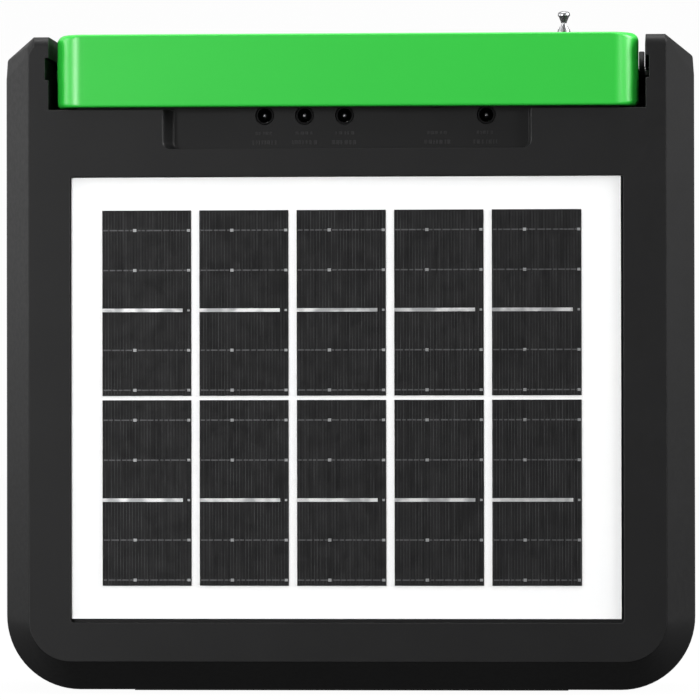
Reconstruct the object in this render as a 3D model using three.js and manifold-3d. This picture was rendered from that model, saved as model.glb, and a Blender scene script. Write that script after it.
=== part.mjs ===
// Solar fence energizer: a portable housing with a solar panel on its front, a fold-down bail handle, low-voltage
// jacks under the handle, a telescopic aerial, and fence and earth terminals on its back.
// Millimetres, +Z up, -Y is the panel side. The origin is at the bottom centre of the bounding box.
import * as THREE from "three";
import { mergeVertices } from "three/addons/utils/BufferGeometryUtils.js";
import Module from "manifold-3d";

const wasm = await Module();
wasm.setup();

// ---------------------------------------------------------------- driving dimensions
const GAP = 0.3; // clearance between pieces that touch
const WALL = 2.8; // moulded wall thickness

const CASE = { halfWidth: 158.25, frontY: -54, bevelY: -30, rearY: 44, splitY: 14, baseZ: 0.85, corner: 34 };
const BEVEL = 13; // how far the front face is set in from the sides
const BEVEL_BELOW = 14; // and from the bottom
// The cut corner on top of each post: across and down at the side of the case, and where it meets the front face.
const POST_CUT = {
  left: { across: 12.7, down: 9.2, frontAcross: 2.7, frontDown: 4 },
  right: { across: 12.3, down: 8.8, frontAcross: 0.6, frontDown: 0.6 },
};
const EAR_TOP = 299.9; // top of the two posts that carry the handle
const PLATEAU = 288; // top of the case between the posts
const EAR_INNER = 136; // inner wall of each post
const STEP = { y: 24, z: 186 }; // the upper part of the back is set forward above this ledge

const BAY = { floorZ: 266.4, wallY: -45, slotInner: 124, slotRearY: 10.8 }; // where the folded handle lies
const HANDLE = { halfWidth: 132.85, front: -56, top: 300.6, bottom: 267.4, band: 7.4, arm: 7, corner: 12 };
const PIVOT = { y: -4, z: 285, hub: 13, pin: 3, washer: 10 };

const PANEL = { x: -0.55, z: 134.9, width: 250.3, height: 201, pocket: 3 };
const PANEL_GAP = { left: 0.4, right: 1.1, bottom: 1.7, top: 0.4 }; // between the laminate and its recess
const CELL = { x: -2.4, width: 40.6, height: 84.5, pitchX: 44.4, pitchZ: 86.45, columns: 5, rows: 2 };

const JACK = { z: 263.8, hole: 4.3, bore: 3.1, pin: 1.05 };
const POCKET = { left: -82.8, right: 83.5, bottom: 248.3, leftDraft: 3.6, rightDraft: 0.4, cut: 2.5 };
const OUTPUT_JACKS_X = [-37.7, -19.5, -1.2];
const CHARGE_JACK_X = 63.5;
const BUTTON = { x: 40.9, z: 271.5, radius: 4.3, proud: 0.8 };

const AERIAL = { x: 98, y: 34.5, hingeZ: 196.5, tubeZ: 203 };
const AERIAL_RADII = [3.2, 2.45, 1.7, 0.95];
const TUBE_WALL = 0.45;

const TERMINAL = { x: 45, z: 58, stud: 3, boss: 11, endY: 56 };
const SELECTOR = { x: -38, z: 138, radius: 15 };
const LENS = { x: 34, z: 146, width: 44, height: 7 };
const SCREWS = [
  { x: -140, z: 36, headY: 44 },
  { x: 140, z: 36, headY: 44 },
  { x: -147, z: 236, headY: STEP.y },
  { x: 147, z: 236, headY: STEP.y },
];
const SCREW = { shank: 2, head: 4, headDepth: 2.6, tipY: -16 };
const FEET_Y = { front: -15, rear: 28 };
const FOOT = { width: 200, depth: 9, seat: 1.6 };
const BATTERY = { width: 151, depth: 65, height: 94, front: -33, bottom: 6.6 };
const BATTERY_RIBS_X = [-60, -20, 20, 60];
const LEAD_RADIUS = 1.6;

// ---------------------------------------------------------------- materials
const plastic = (color, roughness = 0.55) => new THREE.MeshStandardMaterial({ color, roughness, metalness: 0 });
const metal = (color, roughness = 0.3) => new THREE.MeshStandardMaterial({ color, roughness, metalness: 1 });
const MATERIAL = {
  case: plastic(0x2b2b2b, 0.6),
  seal: plastic(0x161616, 0.9),
  handle: plastic(0x45d050, 0.35),
  rubber: plastic(0x1a1a1a, 0.9),
  nylon: plastic(0x101010, 0.6),
  backsheet: plastic(0xf8f8f8, 0.4),
  cell: plastic(0x1d1e20, 0.25),
  cover: new THREE.MeshStandardMaterial({ color: 0xffffff, roughness: 0.08, transparent: true, opacity: 0.12 }),
  chrome: metal(0xd8dadc, 0.12),
  steel: metal(0x9a9da0, 0.35),
  brass: metal(0xc9a24a, 0.3),
  board: plastic(0x1c6b3a, 0.5),
  copper: metal(0xb8693a, 0.4),
  battery: plastic(0x2c2f36, 0.5),
  capacitor: plastic(0x1f4fa0, 0.4),
  red: plastic(0xc4201c, 0.45),
  black: plastic(0x1b1b1d, 0.45),
  lens: plastic(0xd7ead9, 0.2),
};

// ---------------------------------------------------------------- solids
// A closed three.js geometry as a manifold-3d solid.
function solid(geometry) {
  const bare = new THREE.BufferGeometry().setAttribute("position", geometry.getAttribute("position"));
  if (geometry.index) bare.setIndex(geometry.index);
  const merged = mergeVertices(bare, 1e-4);
  const vertProperties = new Float32Array(merged.attributes.position.array);
  const triVerts = new Uint32Array(merged.index.array);
  const made = new wasm.Manifold(new wasm.Mesh({ numProp: 3, vertProperties, triVerts }));
  if (made.volume() > 0) return made;
  for (let i = 0; i < triVerts.length; i += 3)
    [triVerts[i + 1], triVerts[i + 2]] = [triVerts[i + 2], triVerts[i + 1]];
  return new wasm.Manifold(new wasm.Mesh({ numProp: 3, vertProperties, triVerts }));
}

// A box between two corners.
function box([x0, y0, z0], [x1, y1, z1]) {
  const geometry = new THREE.BoxGeometry(x1 - x0, y1 - y0, z1 - z0);
  return solid(geometry.translate((x0 + x1) / 2, (y0 + y1) / 2, (z0 + z1) / 2));
}

// Turns a geometry that is built along Z so that it runs along the named axis.
const ALONG = {
  x: new THREE.Matrix4().makeBasis(
    new THREE.Vector3(0, 1, 0), new THREE.Vector3(0, 0, 1), new THREE.Vector3(1, 0, 0)),
  y: new THREE.Matrix4().makeBasis(
    new THREE.Vector3(0, 0, 1), new THREE.Vector3(1, 0, 0), new THREE.Vector3(0, 1, 0)),
  z: new THREE.Matrix4(),
};

// A round bar along an axis, from a to b along it, centred on (u, v) in the other two axes in X, Y, Z order.
function bar(axis, radius, a, b, u = 0, v = 0, sides = 20) {
  const geometry = new THREE.CylinderGeometry(radius, radius, b - a, sides).rotateX(Math.PI / 2);
  geometry.translate(0, 0, (a + b) / 2).applyMatrix4(ALONG[axis]);
  const move = { x: [0, u, v], y: [u, 0, v], z: [u, v, 0] }[axis];
  return solid(geometry.translate(...move));
}

// A turned piece: a closed profile of [radius, height] points, about Z.
function turned(profile, sides = 20) {
  const points = profile.map(([r, z]) => new THREE.Vector2(r, z));
  if (profile[0][0] !== 0) points.push(points[0].clone());
  return solid(new THREE.LatheGeometry(points, sides).rotateX(Math.PI / 2));
}

// A prism of [u, v] points along X (points are y, z), from a to b.
function prismX(points, a, b) {
  const shape = new THREE.Shape(points.map(([y, z]) => new THREE.Vector2(y, z)));
  const geometry = new THREE.ExtrudeGeometry(shape, { depth: b - a, bevelEnabled: false });
  return solid(geometry.translate(0, 0, a).applyMatrix4(ALONG.x));
}

// A skin through rings of [x, z] points, each at its own y, with flat ends.
function loft(rings) {
  const count = rings[0].points.length;
  const positions = rings.flatMap(({ y, points }) => points.flatMap(([x, z]) => [x, y, z]));
  const index = [];
  for (let r = 0; r + 1 < rings.length; r++)
    for (let i = 0; i < count; i++) {
      const a = r * count + i;
      const b = r * count + ((i + 1) % count);
      index.push(a, a + count, b, b, a + count, b + count);
    }
  const ends = [0, rings.length - 1];
  ends.forEach((r) => {
    const contour = rings[r].points.map(([x, z]) => new THREE.Vector2(x, z));
    for (const [a, b, c] of THREE.ShapeUtils.triangulateShape(contour, []))
      index.push(...(r === 0 ? [a, b, c] : [a, c, b]).map((i) => i + r * count));
  });
  const geometry = new THREE.BufferGeometry();
  geometry.setAttribute("position", new THREE.BufferAttribute(new Float32Array(positions), 3));
  geometry.setIndex(index);
  return solid(geometry);
}

const group = new THREE.Group();

// Adds a solid to the part as a named mesh, optionally moved to a place.
function add(name, made, material, [x, y, z] = [0, 0, 0], parent = group) {
  const { vertProperties, triVerts, numProp, numVert } = made.getMesh();
  const positions = new Float32Array(numVert * 3);
  for (let i = 0; i < numVert; i++) positions.set(vertProperties.subarray(i * numProp, i * numProp + 3), i * 3);
  const geometry = new THREE.BufferGeometry();
  geometry.setAttribute("position", new THREE.BufferAttribute(positions, 3));
  geometry.setIndex(new THREE.BufferAttribute(triVerts, 1));
  const mesh = new THREE.Mesh(geometry, material);
  mesh.name = name;
  mesh.position.set(x, y, z);
  parent.add(mesh);
  return mesh;
}

// ---------------------------------------------------------------- case
// The case's outline seen from the front, inset from its sides: round bottom corners and cut top corners.
function caseOutline(inset, top, steps = 7) {
  const half = CASE.halfWidth - inset;
  const bottom = CASE.baseZ + (inset * BEVEL_BELOW) / BEVEL;
  const radius = CASE.corner - 1.15 * inset;
  const forward = Math.min(inset / BEVEL, 1);
  const side = ({ across, down, frontAcross, frontDown }) => {
    const cutAcross = across + (frontAcross - across) * forward;
    const cutDown = down + (frontDown - down) * forward;
    return [...arc(half - radius, bottom + radius, radius, -Math.PI / 2, 0, steps), [half, top - 2 * cutDown],
      [half - 0.05 * cutAcross, top - cutDown], [half - cutAcross, top]];
  };
  return [...side(POST_CUT.right), ...side(POST_CUT.left).map(([x, z]) => [-x, z]).reverse()];
}

const FRONT_END = CASE.splitY - 0.8;
const POST_END = FRONT_END - 3.2; // behind this the posts drop to the plateau
const REAR_START = CASE.splitY + 0.8;

// The handle's bay, its two arm slots and the space over the plateau, grown by a wall thickness for the cavity.
function handleBay(grow) {
  const inner = EAR_INNER + grow;
  const floor = BAY.floorZ - grow;
  const front = CASE.frontY - 20;
  const over = 320;
  const bay = box([-inner, front, floor], [inner, BAY.wallY + grow, over]);
  const above = box([-inner, front, PLATEAU - grow], [inner, 60, over]);
  const slots = [-1, 1].map((side) => {
    const x = [side * (BAY.slotInner - grow), side * inner].sort((a, b) => a - b);
    return box([x[0], front, floor], [x[1], BAY.slotRearY + grow, over]);
  });
  return bay.add(above).add(slots[0]).add(slots[1]);
}

// The pocket that holds the jacks: its sides slope in to the floor, and its top runs into the handle's bay.
function jackPocket(grow) {
  const ring = (y, leftInset, rightInset) => {
    const [left, right] = [POCKET.left - grow + leftInset, POCKET.right + grow - rightInset];
    const [bottom, top, cut] = [POCKET.bottom - grow, BAY.floorZ + 2, POCKET.cut];
    const corners = [[left, top], [left, bottom + cut], [left + cut, bottom]];
    return { y, points: [...corners, [right - cut, bottom], [right, bottom + cut], [right, top]] };
  };
  return loft([ring(CASE.frontY - 1, -0.4, 0), ring(BAY.wallY + grow, POCKET.leftDraft, POCKET.rightDraft)]);
}

// The seat of a rubber foot, grown for the wall that is kept round it.
const footSeat = (y, grow) =>
  box([-FOOT.width / 2 - GAP - grow, y - FOOT.depth / 2 - GAP - grow, CASE.baseZ - 5],
    [FOOT.width / 2 + GAP + grow, y + FOOT.depth / 2 + GAP + grow, CASE.baseZ + FOOT.seat + grow]);

function frontShell() {
  const outer = loft([
    { y: CASE.frontY, points: caseOutline(BEVEL, EAR_TOP) },
    { y: CASE.bevelY, points: caseOutline(0, EAR_TOP) },
    { y: POST_END, points: caseOutline(0, EAR_TOP) },
    { y: FRONT_END, points: caseOutline(0, PLATEAU) },
  ]);
  const cavityOutline = (y, inset, top) => ({ y, points: caseOutline(inset + WALL, top - WALL) });
  const [halfWidth, halfHeight] = [PANEL.width / 2, PANEL.height / 2];
  const { left, right, bottom, top } = PANEL_GAP;
  const panelBox = (grow, backY) =>
    box([PANEL.x - halfWidth - left - grow, CASE.frontY - 1, PANEL.z - halfHeight - bottom - grow],
      [PANEL.x + halfWidth + right + grow, backY, PANEL.z + halfHeight + top + grow]);
  const pocketFloor = CASE.frontY + PANEL.pocket;
  let cavity = loft([
    cavityOutline(CASE.frontY + 3.4, BEVEL, EAR_TOP),
    cavityOutline(CASE.bevelY + 1, 0, EAR_TOP),
    cavityOutline(POST_END - 3, 0, EAR_TOP),
    cavityOutline(POST_END + 0.4, 0, PLATEAU),
    cavityOutline(FRONT_END + 0.1, 0, PLATEAU),
  ]);
  const wall = WALL - 0.2;
  const ribs = BATTERY_RIBS_X.map((x) => box([x - 1.5, -28, 0], [x + 1.5, FRONT_END + 1, BATTERY.bottom - 0.1]));
  const keptPanel = panelBox(WALL, pocketFloor + WALL);
  for (const kept of [handleBay(wall), jackPocket(wall), keptPanel, footSeat(FEET_Y.front, 1.8), ...ribs])
    cavity = cavity.subtract(kept);

  // Screw bosses, each tied to the side wall by a rib.
  for (const { x, z } of SCREWS) {
    const side = Math.sign(x);
    const ribX = [x, side * (CASE.halfWidth - 1)].sort((a, b) => a - b);
    cavity = cavity.subtract(bar("y", 4.6, -26, FRONT_END + 1, x, z, 14));
    cavity = cavity.subtract(box([ribX[0], -26, z - 1], [ribX[1], FRONT_END + 1, z + 1]));
  }
  let shell = outer.subtract(cavity);
  const junctionWindow = box([PANEL.x - 21, -60, 188], [PANEL.x + 21, -45, 212]);
  const cuts = [handleBay(0), jackPocket(0), panelBox(0, pocketFloor), junctionWindow, footSeat(FEET_Y.front, 0)];
  for (const cut of cuts) shell = shell.subtract(cut);
  for (const { x, z } of SCREWS) shell = shell.subtract(bar("y", SCREW.shank + GAP, -22, FRONT_END + 1, x, z, 14));
  const throughWall = (radius, x, z) => bar("y", radius, BAY.wallY - 1, BAY.wallY + WALL + 1, x, z, 24);
  for (const x of [...OUTPUT_JACKS_X, CHARGE_JACK_X]) shell = shell.subtract(throughWall(JACK.hole, x, JACK.z));
  shell = shell.subtract(throughWall(BUTTON.radius + GAP, BUTTON.x, BUTTON.z));
  for (const side of [-1, 1]) {
    const hole = [side * (EAR_INNER - 1), side * (EAR_INNER + 5)].sort((a, b) => a - b);
    shell = shell.subtract(bar("x", PIVOT.pin + GAP, hole[0], hole[1], PIVOT.y, PIVOT.z, 20));
    const groove = [side * (EAR_INNER - 1), side * (EAR_INNER + 1.6)].sort((a, b) => a - b);
    shell = shell.subtract(box([groove[0], CASE.frontY - 1, PIVOT.z - 5], [groove[1], PIVOT.y, PIVOT.z + 5]));
  }
  return shell;
}

// The step in the upper part of the back, seen from the side.
const stepPrism = (grow) =>
  prismX([[STEP.y - grow, 330], [STEP.y - grow, STEP.z - grow], [80, STEP.z - grow], [80, 330]], -170, 170);

function rearShell() {
  const outer = loft([
    { y: REAR_START, points: caseOutline(0, PLATEAU) },
    { y: CASE.rearY - 5, points: caseOutline(0, PLATEAU) },
    { y: CASE.rearY, points: caseOutline(5, PLATEAU) },
  ]).subtract(stepPrism(0));
  const bosses = [-1, 1].map((side) =>
    bar("y", TERMINAL.boss, CASE.rearY - 1, CASE.rearY + 2, side * TERMINAL.x, TERMINAL.z, 28));
  let cavity = loft([
    { y: REAR_START - 0.1, points: caseOutline(WALL, PLATEAU - WALL) },
    { y: CASE.rearY - 5.5, points: caseOutline(WALL, PLATEAU - WALL) },
    { y: CASE.rearY - WALL, points: caseOutline(WALL + 3, PLATEAU - WALL) },
  ]);
  for (const kept of [stepPrism(WALL), footSeat(FEET_Y.rear, 1.8)]) cavity = cavity.subtract(kept);
  for (const { x, z } of SCREWS) cavity = cavity.subtract(bar("y", 6.4, REAR_START - 1, 60, x, z, 16));
  let shell = outer.subtract(cavity).add(bosses[0]).add(bosses[1]).subtract(footSeat(FEET_Y.rear, 0));
  for (const { x, z, headY } of SCREWS) {
    shell = shell.subtract(bar("y", SCREW.shank + GAP, REAR_START - 1, headY + 1, x, z, 14));
    shell = shell.subtract(bar("y", SCREW.head + 0.6, headY - SCREW.headDepth - 0.6, headY + 1, x, z, 20));
  }
  for (const side of [-1, 1])
    shell = shell.subtract(bar("y", TERMINAL.stud + GAP, 30, 60, side * TERMINAL.x, TERMINAL.z, 20));
  shell = shell.subtract(bar("y", 4, 30, 60, SELECTOR.x, SELECTOR.z, 20));
  shell = shell.subtract(
    box([LENS.x - LENS.width / 2 - GAP, 30, LENS.z - LENS.height / 2 - GAP],
      [LENS.x + LENS.width / 2 + GAP, 60, LENS.z + LENS.height / 2 + GAP]));
  return shell.subtract(bar("z", 3 + GAP, 170, 200, AERIAL.x, AERIAL.y, 20));
}

function shellSeal() {
  const ring = (y, inset) => ({ y, points: caseOutline(inset, PLATEAU - inset) });
  const [front, rear] = [FRONT_END + 0.05, REAR_START - 0.05];
  const outer = loft([ring(front, 0.9), ring(rear, 0.9)]);
  return outer.subtract(loft([ring(front - 1, 2.7), ring(rear + 1, 2.7)]));
}

function addCase() {
  add("front_shell", frontShell(), MATERIAL.case);
  add("rear_shell", rearShell(), MATERIAL.case);
  add("shell_seal", shellSeal(), MATERIAL.seal);
  for (const [name, y] of Object.entries(FEET_Y)) {
    const [halfWidth, halfDepth] = [FOOT.width / 2, FOOT.depth / 2];
    const foot = box([-halfWidth, -halfDepth, 0], [halfWidth, halfDepth, CASE.baseZ + FOOT.seat - 0.1]);
    add(`foot_${name}`, foot, MATERIAL.rubber, [0, y, 0]);
  }
  SCREWS.forEach(({ x, z, headY }, i) => {
    const headBack = -SCREW.headDepth - 0.3;
    const head = bar("y", SCREW.head, headBack, -0.3, 0, 0, 20);
    const slot = box([-3, -1.5, -0.5], [3, 1, 0.5]);
    const cross = box([-0.5, -1.5, -3], [0.5, 1, 3]);
    const shank = bar("y", SCREW.shank, SCREW.tipY - headY, headBack + 0.1, 0, 0, 12);
    add(`case_screw_${i + 1}`, head.subtract(slot).subtract(cross).add(shank), MATERIAL.steel, [x, headY, z]);
  });
}

// ---------------------------------------------------------------- solar panel
function addPanel() {
  const [halfWidth, halfHeight] = [PANEL.width / 2, PANEL.height / 2];
  const slab = (thickness) => box([-halfWidth, 0, -halfHeight], [halfWidth, thickness, halfHeight]);
  const backsheetY = CASE.frontY + PANEL.pocket - 1.4;
  add("panel_backsheet", slab(1.3), MATERIAL.backsheet, [PANEL.x, backsheetY, PANEL.z]);
  for (let row = 0; row < CELL.rows; row++)
    for (let column = 0; column < CELL.columns; column++) {
      const x = CELL.x + (column - (CELL.columns - 1) / 2) * CELL.pitchX;
      const z = PANEL.z + ((CELL.rows - 1) / 2 - row) * CELL.pitchZ;
      const cell = box([-CELL.width / 2, 0, -CELL.height / 2], [CELL.width / 2, 0.35, CELL.height / 2]);
      add(`solar_cell_${row * CELL.columns + column + 1}`, cell, MATERIAL.cell, [x, backsheetY - 0.4, z]);
    }
  add("panel_cover", slab(0.7), MATERIAL.cover, [PANEL.x, backsheetY - 1.2, PANEL.z]);
  add("panel_junction_box", box([-18, 0, -10], [18, 9, 10]), MATERIAL.black, [PANEL.x, backsheetY + 1.35, 200]);
}

// ---------------------------------------------------------------- handle
function arc(cx, cy, radius, from, to, steps) {
  return Array.from({ length: steps + 1 }, (_, i) => {
    const angle = from + ((to - from) * i) / steps;
    return [cx + radius * Math.cos(angle), cy + radius * Math.sin(angle)];
  });
}

// The bail seen from above: a flat band with round corners and two arms that run back to the pivots.
function bailPlan() {
  const { halfWidth, front, corner, band, arm } = HANDLE;
  const rear = PIVOT.y + PIVOT.hub + 1;
  const inner = halfWidth - arm;
  const innerCorner = 4;
  const right = [
    ...arc(halfWidth - corner, front + corner, corner, -Math.PI / 2, 0, 6),
    [halfWidth, rear],
    [inner, rear],
    ...arc(inner - innerCorner, front + band + innerCorner, innerCorner, 0, -Math.PI / 2, 3),
  ];
  const left = right.map(([x, y]) => [-x, y]);
  return [...right, ...left.reverse()];
}

// The bail seen from the side: full height at the band, drawn in to a round hub at the pivot.
function bailSide() {
  const hub = arc(PIVOT.y, PIVOT.z, PIVOT.hub, Math.PI / 2, -Math.PI / 2, 10);
  const [front, taper] = [HANDLE.front - 1, HANDLE.front + 12];
  return [[front, HANDLE.bottom], [front, HANDLE.top], [taper, HANDLE.top], ...hub, [taper, HANDLE.bottom]];
}

function addHandle() {
  const handle = new THREE.Group();
  handle.position.set(0, PIVOT.y, PIVOT.z);
  group.add(handle);
  const plan = new THREE.Shape(bailPlan().map(([x, y]) => new THREE.Vector2(x, y)));
  const tall = new THREE.ExtrudeGeometry(plan, { depth: 50, bevelEnabled: false, curveSegments: 1 });
  let bail = solid(tall.translate(0, 0, 260)).intersect(prismX(bailSide(), -140, 140));
  const bandBack = HANDLE.front + HANDLE.band;
  const middle = (HANDLE.top + HANDLE.bottom) / 2;
  bail = bail.subtract(box([-88.3, bandBack - 1.9, middle - 12.8], [88.3, bandBack + 1, middle + 12.8]));
  bail = bail.subtract(bar("x", PIVOT.pin + GAP, -140, 140, PIVOT.y, PIVOT.z, 20));
  add("handle_bail", bail.translate([0, -PIVOT.y, -PIVOT.z]), MATERIAL.handle, [0, 0, 0], handle);
  const pad = box([-88, bandBack - 1.6, middle - 12.5], [88, bandBack - 0.1, middle + 12.5]);
  add("handle_grip_pad", pad.translate([0, -PIVOT.y, -PIVOT.z]), MATERIAL.rubber, [0, 0, 0], handle);
  for (const [name, side] of [["left", -1], ["right", 1]]) {
    const span = (a, b) => [side * a, side * b].sort((p, q) => p - q);
    const washerX = span(HANDLE.halfWidth + GAP, EAR_INNER - GAP);
    const washer = bar("x", PIVOT.washer, washerX[0], washerX[1], 0, 0, 28);
    const hole = bar("x", PIVOT.pin + GAP, washerX[0] - 1, washerX[1] + 1, 0, 0, 20);
    add(`handle_washer_${name}`, washer.subtract(hole), MATERIAL.nylon, [0, PIVOT.y, PIVOT.z]);
    const pinX = span(HANDLE.halfWidth - HANDLE.arm + 0.2, EAR_INNER + 4);
    const flangeX = span(EAR_INNER + WALL + 0.1, EAR_INNER + 5.5);
    const pin = bar("x", PIVOT.pin, pinX[0], pinX[1], 0, 0, 20).add(bar("x", 6, flangeX[0], flangeX[1], 0, 0, 20));
    add(`handle_pivot_${name}`, pin, MATERIAL.steel, [0, PIVOT.y, PIVOT.z]);
  }
}

// ---------------------------------------------------------------- aerial
// One telescopic tube: closed at its foot, drawn in a little at its mouth.
function aerialTube(radius, foot, mouth) {
  const bore = radius - TUBE_WALL;
  const outside = [[0, foot], [radius, foot], [radius, mouth - 1.2], [radius - 0.15, mouth]];
  return turned([...outside, [bore, mouth], [bore, foot + 2], [0, foot + 2]], 16);
}

function addAerial() {
  const aerial = new THREE.Group();
  aerial.position.set(AERIAL.x, AERIAL.y, 0);
  group.add(aerial);
  const ledge = STEP.z;
  const bore = turned([[0, ledge - 6], [1.8, ledge - 6], [1.8, ledge + 5], [0, ledge + 5]]);
  const socket = turned([
    [0, ledge - 12], [3, ledge - 12], [3, ledge - 8], [5.5, ledge - 8], [5.5, ledge - WALL - 0.2],
    [3, ledge - WALL - 0.2], [3, ledge + 0.1], [6, ledge + 0.1], [6, ledge + 2.2], [5.2, ledge + 2.6],
    [0, ledge + 2.6],
  ]).subtract(bore);
  add("aerial_socket", socket, MATERIAL.chrome, [0, 0, 0], aerial);

  const swivelFloor = AERIAL.hingeZ - 4.4;
  const stem = turned([
    [0, ledge - 5], [1.5, ledge - 5], [1.5, ledge + 2.9], [5, ledge + 2.9], [5, swivelFloor], [0, swivelFloor],
  ]);
  let swivel = stem;
  for (const side of [-1, 1]) {
    const x = [side * 2.35, side * 4.3].sort((a, b) => a - b);
    const cheek = box([x[0], -2.6, swivelFloor - 0.5], [x[1], 2.6, AERIAL.hingeZ]);
    swivel = swivel.add(cheek).add(bar("x", 2.6, x[0], x[1], 0, AERIAL.hingeZ, 16));
  }
  swivel = swivel.add(bar("x", 1, -4.7, 4.7, 0, AERIAL.hingeZ, 12));
  add("aerial_swivel", swivel, MATERIAL.chrome, [0, 0, 0], aerial);

  const tops = [308.3, 309.5, 310.5];
  const feet = [AERIAL.tubeZ, AERIAL.tubeZ + 3, AERIAL.tubeZ + 6];
  const names = ["outer", "middle", "inner"];
  names.forEach((name, i) => {
    let tube = aerialTube(AERIAL_RADII[i], feet[i], tops[i]);
    if (i === 0) {
      const eye = bar("x", 2.6, -2, 2, 0, AERIAL.hingeZ, 16);
      const tongue = box([-2, -2.6, AERIAL.hingeZ], [2, 2.6, feet[0] + 0.5]).add(eye);
      tube = tube.add(tongue).subtract(bar("x", 1 + GAP, -3, 3, 0, AERIAL.hingeZ, 12));
    }
    add(`aerial_tube_${name}`, tube, MATERIAL.chrome, [0, 0, 0], aerial);
  });
  const [rod, rodFoot] = [AERIAL_RADII[3], AERIAL.tubeZ + 9];
  const button = [[1.4, 311.4], [2.9, 312.6], [2.9, 315.8], [2.3, 316.4], [0, 316.7]];
  const tip = turned([[0, rodFoot], [rod, rodFoot], [rod, 311], ...button], 16);
  add("aerial_tip_rod", tip, MATERIAL.chrome, [0, 0, 0], aerial);
}

// ---------------------------------------------------------------- jacks and button
function addJackBoard() {
  const boardY = -29.5;
  const wallBack = BAY.wallY + WALL - 0.2;
  add("jack_board", box([-48, boardY, 254], [76, boardY + 1.6, 281]), MATERIAL.board);
  const jack = () => {
    const body = box([-4.6, wallBack + 0.2, -5], [4.6, boardY - 0.1, 6.4]);
    const barrel = bar("y", JACK.hole - GAP, BAY.wallY + 0.1, wallBack + 1, 0, 0, 24);
    const bore = bar("y", JACK.bore, BAY.wallY - 3, -36, 0, 0, 20);
    return body.add(barrel).subtract(bore).add(bar("y", JACK.pin, BAY.wallY + 0.8, -35.5, 0, 0, 12));
  };
  OUTPUT_JACKS_X.forEach((x, i) => add(`output_jack_${i + 1}`, jack(), MATERIAL.black, [x, 0, JACK.z]));
  add("charge_jack", jack(), MATERIAL.black, [CHARGE_JACK_X, 0, JACK.z]);
  const cap = bar("y", BUTTON.radius, BAY.wallY - BUTTON.proud, wallBack + 2, 0, 0, 24);
  const flange = bar("y", 5.6, wallBack + 0.3, wallBack + 2, 0, 0, 24);
  add("power_button", cap.add(flange), MATERIAL.black, [BUTTON.x, 0, BUTTON.z]);
  add("button_switch", box([-4, wallBack + 3, -4], [4, boardY - 0.1, 4]), MATERIAL.black, [BUTTON.x, 0, BUTTON.z]);
}

// ---------------------------------------------------------------- electronics and battery
// A lead along a smooth route of [x, y, z] points.
function lead(route, radius) {
  const curve = new THREE.CatmullRomCurve3(route.map((p) => new THREE.Vector3(...p)));
  const circle = arc(0, 0, radius, 0, (2 * Math.PI * 7) / 8, 7);
  const section = new THREE.Shape(circle.map(([x, y]) => new THREE.Vector2(x, y)));
  return solid(new THREE.ExtrudeGeometry(section, { steps: 18, extrudePath: curve }));
}

function addElectronics() {
  const { width, depth, height, front, bottom } = BATTERY;
  const top = bottom + height;
  add("battery", box([-width / 2, front, bottom], [width / 2, front + depth, top]), MATERIAL.battery);
  const [inside, outside] = [width / 2 + 1.5, width / 2 + 3.5];
  const strap = box([-outside, -10, 4.8], [outside, 6, top + 2]);
  add("battery_strap", strap.subtract(box([-inside, -11, 3], [inside, 7, top + 0.3])), MATERIAL.steel);
  add("main_board", box([-82, 24.6, 106], [82, 26.2, 178]), MATERIAL.board);
  const windows = [[-62, -51], [-41, -30]].map(([a, b]) => box([a, -20, 121], [b, 30, 159]));
  const core = box([-70, -12, 112], [-22, 24.4, 168]).subtract(windows[0]).subtract(windows[1]);
  add("transformer_core", core, MATERIAL.steel);
  const coil = box([-61.5, -20, 121.5], [-30.5, 24.4, 158.5]).subtract(box([-51.5, -13, 110], [-40.5, 25, 170]));
  add("transformer_coil", coil, MATERIAL.copper);
  add("storage_capacitor", bar("x", 17, -14, 40, 5, 132, 28), MATERIAL.capacitor);
  const fins = [50, 56, 62, 68].map((x) => box([x, -4, 116], [x + 1.6, 22, 160]));
  const heatSink = fins.reduce((whole, fin) => whole.add(fin), box([50, 20.5, 116], [69.6, 24.4, 160]));
  add("switching_heat_sink", heatSink, MATERIAL.steel);

  // Leads from the battery's top to the edge of the main board.
  const positive = [[-60, -30, 101.5], [-66, -30, 112], [-88, -8, 122], [-90, 12, 132], [-80, 22.6, 140]];
  const negative = [[60, -30, 101.5], [68, -30, 112], [88, -8, 118], [92, 10, 126], [78, 22.6, 134]];
  add("battery_lead_positive", lead(positive, LEAD_RADIUS), MATERIAL.red);
  add("battery_lead_negative", lead(negative, LEAD_RADIUS), MATERIAL.black);
}

// ---------------------------------------------------------------- terminals, selector and lens
function addTerminals() {
  const nose = CASE.rearY + 2; // the insulating boss ends here
  for (const [name, side, material] of [["fence", 1, MATERIAL.red], ["earth", -1, MATERIAL.black]]) {
    const place = [side * TERMINAL.x, 0, TERMINAL.z];
    const head = bar("y", 6, 35.5, CASE.rearY - WALL - 0.1, 0, 0, 6);
    const stud = bar("y", TERMINAL.stud, 32.4, TERMINAL.endY, 0, 0, 20).add(head);
    const hole = bar("y", TERMINAL.stud + GAP, 40, 60, 0, 0, 20);
    add(`${name}_stud`, stud, MATERIAL.brass, place);
    add(`${name}_washer`, bar("y", 8, nose + 0.1, nose + 1.6, 0, 0, 28).subtract(hole), MATERIAL.steel, place);
    let knob = bar("y", 9.5, nose + 1.8, 54.4, 0, 0, 28);
    for (let i = 0; i < 6; i++) {
      const angle = (Math.PI * 2 * i) / 6;
      knob = knob.add(bar("y", 3.4, nose + 2.6, 54.4, 8.4 * Math.cos(angle), 8.4 * Math.sin(angle), 12));
    }
    add(`${name}_knob`, knob.subtract(hole), material, place);
  }
}

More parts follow.
